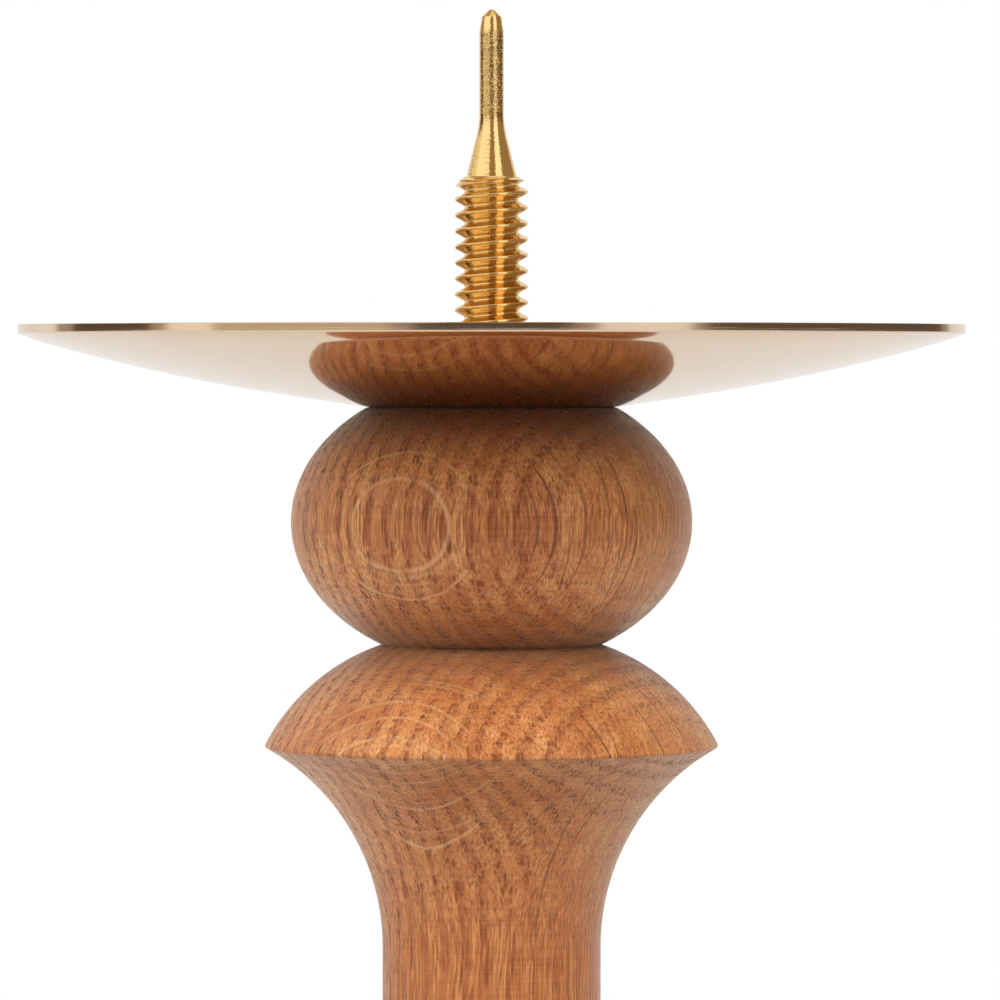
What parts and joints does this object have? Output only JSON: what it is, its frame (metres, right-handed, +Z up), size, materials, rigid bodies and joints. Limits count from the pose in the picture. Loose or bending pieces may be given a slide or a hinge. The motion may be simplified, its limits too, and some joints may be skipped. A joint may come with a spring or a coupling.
{
  "type": "pricket candle stand",
  "caption": "Turned oak candle stand with a ball and flared collar, a shallow spun brass drip dish and a threaded brass spike that holds a pillar candle upright.",
  "frame": {"origin": "centre of the felt pad's underside, where the stand rests on the table", "axes": "+Z up along the turning axis, towards the spike's tip; -Y towards the viewer of the picture"},
  "size_m": [0.104, 0.104, 0.2382],
  "materials": {
    "spike_brass": "bright turned brass, satin on the pin",
    "dish_brass": "mirror polished",
    "oak": "satin oil",
    "felt": "pressed felt"
  },
  "bodies": {
    "stand": {"oak_stem": "oak", "oak_foot": "oak", "felt_pad": "felt"},
    "dish": {"drip_dish": "dish_brass"},
    "spike": {"pricket_spike": "spike_brass"}
  },
  "joints": [
    {"name": "dish_lift", "type": "slide", "parent": "stand", "child": "dish", "axis": [0, 0, 1], "range_m": [0, 0.05]},
    {"name": "spike_unscrew", "type": "slide", "parent": "stand", "child": "spike", "axis": [0, 0, 1], "range_m": [0, 0.04]}
  ]
}
